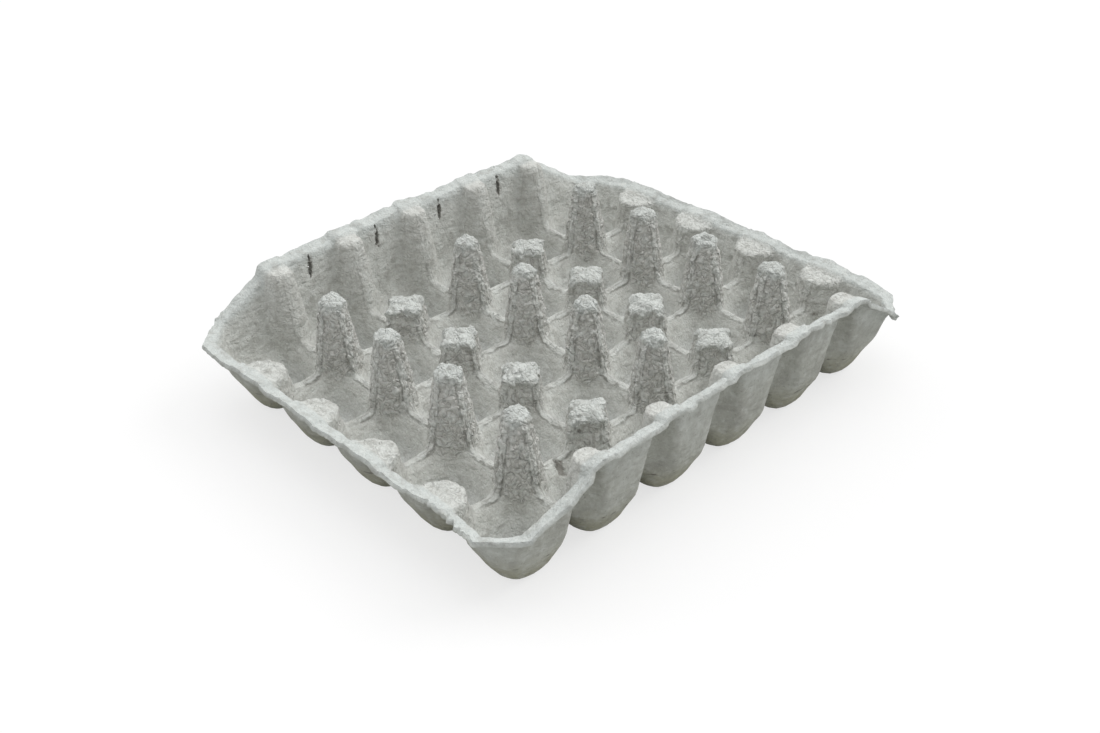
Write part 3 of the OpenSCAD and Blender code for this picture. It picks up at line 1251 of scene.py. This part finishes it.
        # The pit zone says where shade is painted in and round the slits and the pits.
        s = self.slits
        shares[Zone.PIT] = ease(s.shade_steepness * (s.shade_reach - self._slit_reach(places)))
        for pit in self.pits:
            shade = ease(self.pit_shade_reach - self._pit_reach(pit, places))
            shares[Zone.PIT] = np.maximum(shares[Zone.PIT], shade * (1 - below))
        for zone, share in shares.items():
            group = self.sheet.vertex_groups.new(name=zone.value)
            steps = np.round(share * self.weight_steps)
            for step in range(1, self.weight_steps + 1):
                group.add(np.flatnonzero(steps == step).tolist(), step / self.weight_steps, "REPLACE")
            if zone is not Zone.UNDERSIDE:
                attribute = self.sheet.data.attributes.new(zone.attribute, "FLOAT", "POINT")
                attribute.data.foreach_set("value", share.astype(np.float32))
        run = self.sheet.data.attributes.new("ridge_run", "FLOAT_VECTOR", "POINT")
        across = self.form.ridge_run(x, y, places[:, 2]) * MM
        run.data.foreach_set("vector", across.astype(np.float32).ravel())

    def _roughen(self) -> None:
        """Gives the sheet the lumps of dried pulp."""
        for number, lumps in enumerate(self.lumps):
            uneven = self.sheet.modifiers.new(f"lumps_{number}", "DISPLACE")
            uneven.strength = lumps.rise * MM
            uneven.vertex_group = lumps.zone.value
            uneven.invert_vertex_group = lumps.elsewhere
            if lumps.grain is None:
                uneven.mid_level = 0
            else:
                uneven.texture = bpy.data.textures.new(uneven.name, "CLOUDS")
                uneven.texture.noise_type = lumps.grain.value
                uneven.texture.noise_scale = lumps.size * MM
                uneven.texture_coords = "LOCAL"
            bpy.ops.object.modifier_apply(modifier=uneven.name)
        self._move(self._places())

    def _thin_out(self) -> None:
        """Thins out the smooth underside, most of all where the tray hides it."""
        g = self.form.grid
        for hidden, share in ((False, self.outer_share), (True, self.hidden_share)):
            below = self._underside() > WHOLE
            places = self._places()
            x, y = places[:, 0], places[:, 1]
            inside = (np.abs(x) < g.wall_x - g.half_x) & (np.abs(y) < g.wall_y - g.half_y)
            rim = self.form.lip(x, y) > 0
            cut = self._slit_reach(places) < self.slits.margin
            self._select("VERT", below & (inside == hidden) & ~rim & ~cut)
            bpy.ops.mesh.select_mode(type="FACE")
            bpy.ops.mesh.decimate(ratio=share)
            bpy.ops.object.mode_set(mode="OBJECT")
        LOG.info("%d faces with the underside thinned out", len(self.sheet.data.polygons))

    def _trim(self) -> None:
        """Takes out the faces that add least to the shape, down to the most that a piece may have."""
        thin = self.sheet.modifiers.new("trim", "DECIMATE")
        thin.ratio = min(self.most_faces / len(self.sheet.data.polygons), 1)
        bpy.ops.object.modifier_apply(modifier=thin.name)
        self._move(self._places())

    def _dress(self) -> None:
        """Gives the sheet its finish."""
        self.sheet.data.materials.append(self.finish.material())
        bpy.ops.object.shade_smooth_by_angle(angle=math.radians(self.sharpest_degrees))


@dataclass(frozen=True)
class Lamp:
    """One wide soft lamp: the direction it stands in, its width as seen from the tray and its strength."""

    name: str
    stands: tuple[float, float, float]
    width_degrees: float
    strength: float


@dataclass(frozen=True)
class Studio:
    """A plain pale floor, soft light from above and behind, and a camera that looks down on the tray."""

    azimuth: float = 47.27
    elevation: float = 33.44
    roll: float = -1.69
    distance: float = 745.1
    aim_right: float = -2.27
    aim_up: float = -46.1
    aim_height: float = 64.0
    focal_pixels: float = 1342.9
    sensor_width: float = 36.0
    floor_size: float = 12000.0
    floor_colour: str = "#fafafa"
    bounce_colour: str = "#bcbcba"
    floor_glow: float = 0.7
    sky_strength: float = 0.56
    lamps: tuple[Lamp, ...] = (
        Lamp("right_softbox", (0.32, 0.79, 0.75), 35.0, 1.15),
        Lamp("left_softbox", (-0.77, -0.24, 0.75), 35.0, 0.35),
        Lamp("top_softbox", (-0.15, 0.15, 1.0), 50.0, 0.85),
    )

    def set_camera(self) -> None:
        """Places the camera at the photograph's viewing angle."""
        turn, tilt = math.radians(self.azimuth), math.radians(self.elevation)
        back = Vector((math.sin(turn) * math.cos(tilt), -math.cos(turn) * math.cos(tilt), math.sin(tilt)))
        level = Vector((math.cos(turn), math.sin(turn), 0.0))
        rise = back.cross(level)
        lean = math.radians(self.roll)
        right = level * math.cos(lean) + rise * math.sin(lean)
        up = rise * math.cos(lean) - level * math.sin(lean)
        aim = Vector((0.0, 0.0, self.aim_height)) + right * self.aim_right + up * self.aim_up
        data = bpy.data.cameras.new("camera")
        data.sensor_width = self.sensor_width
        data.sensor_fit = "HORIZONTAL"
        data.lens = self.focal_pixels / PHOTO_WIDTH * self.sensor_width
        camera = bpy.data.objects.new("camera", data)
        bpy.context.scene.collection.objects.link(camera)
        turned = Matrix((right, up, back)).transposed().to_4x4()
        camera.matrix_world = Matrix.Translation((aim + back * self.distance) * MM) @ turned
        bpy.context.scene.camera = camera

    def lay_floor(self) -> None:
        """Lays a pale floor that looks white to the camera and still takes the tray's shadow."""
        bpy.ops.object.select_all(action="DESELECT")
        bpy.ops.mesh.primitive_plane_add(size=self.floor_size * MM)
        floor = bpy.context.active_object
        floor.name = "floor"
        material = bpy.data.materials.new("pale_floor")
        tree = empty_tree(material)
        seen = seen_share(tree)
        bounce = add_node(tree, "BsdfDiffuse", values={"Color": linear(self.bounce_colour)})
        matt = add_node(tree, "BsdfDiffuse", values={"Color": linear(self.floor_colour)})
        glow = add_node(tree, "Emission", values={"Strength": 1.0})
        white = add_node(
            tree, "MixShader", {1: matt.outputs[0], 2: glow.outputs[0]}, {0: self.floor_glow},
        )
        both = add_node(tree, "MixShader", {0: seen, 1: bounce.outputs[0], 2: white.outputs[0]})
        add_node(tree, "OutputMaterial", {"Surface": both.outputs[0]})
        floor.data.materials.append(material)

    def light(self) -> None:
        """Lights the scene by a soft white sky and wide lamps above the tray, to its left and right."""
        world = bpy.data.worlds.new("studio")
        tree = empty_tree(world)
        strength = add_node(
            tree, "MapRange", {"Value": seen_share(tree)},
            {"To Min": self.sky_strength, "To Max": 1.0},
        )
        sky = add_node(
            tree, "Background", {"Strength": strength.outputs[0]}, {"Color": (1.0, 1.0, 1.0, 1.0)},
        )
        add_node(tree, "OutputWorld", {"Surface": sky.outputs[0]})
        bpy.context.scene.world = world
        for lamp in self.lamps:
            data = bpy.data.lights.new(lamp.name, "SUN")
            data.angle = math.radians(lamp.width_degrees)
            data.energy = lamp.strength
            softbox = bpy.data.objects.new(lamp.name, data)
            bpy.context.scene.collection.objects.link(softbox)
            softbox.rotation_euler = Vector(lamp.stands).to_track_quat("Z", "Y").to_euler()
        bpy.context.scene.view_settings.view_transform = "Standard"


def main() -> None:
    """Builds the tray and the studio."""
    logging.basicConfig(level=logging.INFO)
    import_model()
    studio = Studio()
    studio.set_camera()
    studio.lay_floor()
    studio.light()
    tray = PulpSheet().build()
    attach(tray, "root")
    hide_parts("egg_tray")
    LOG.info("%s: %d faces", tray.name, len(tray.data.polygons))


if __name__ == "__main__":
    main()
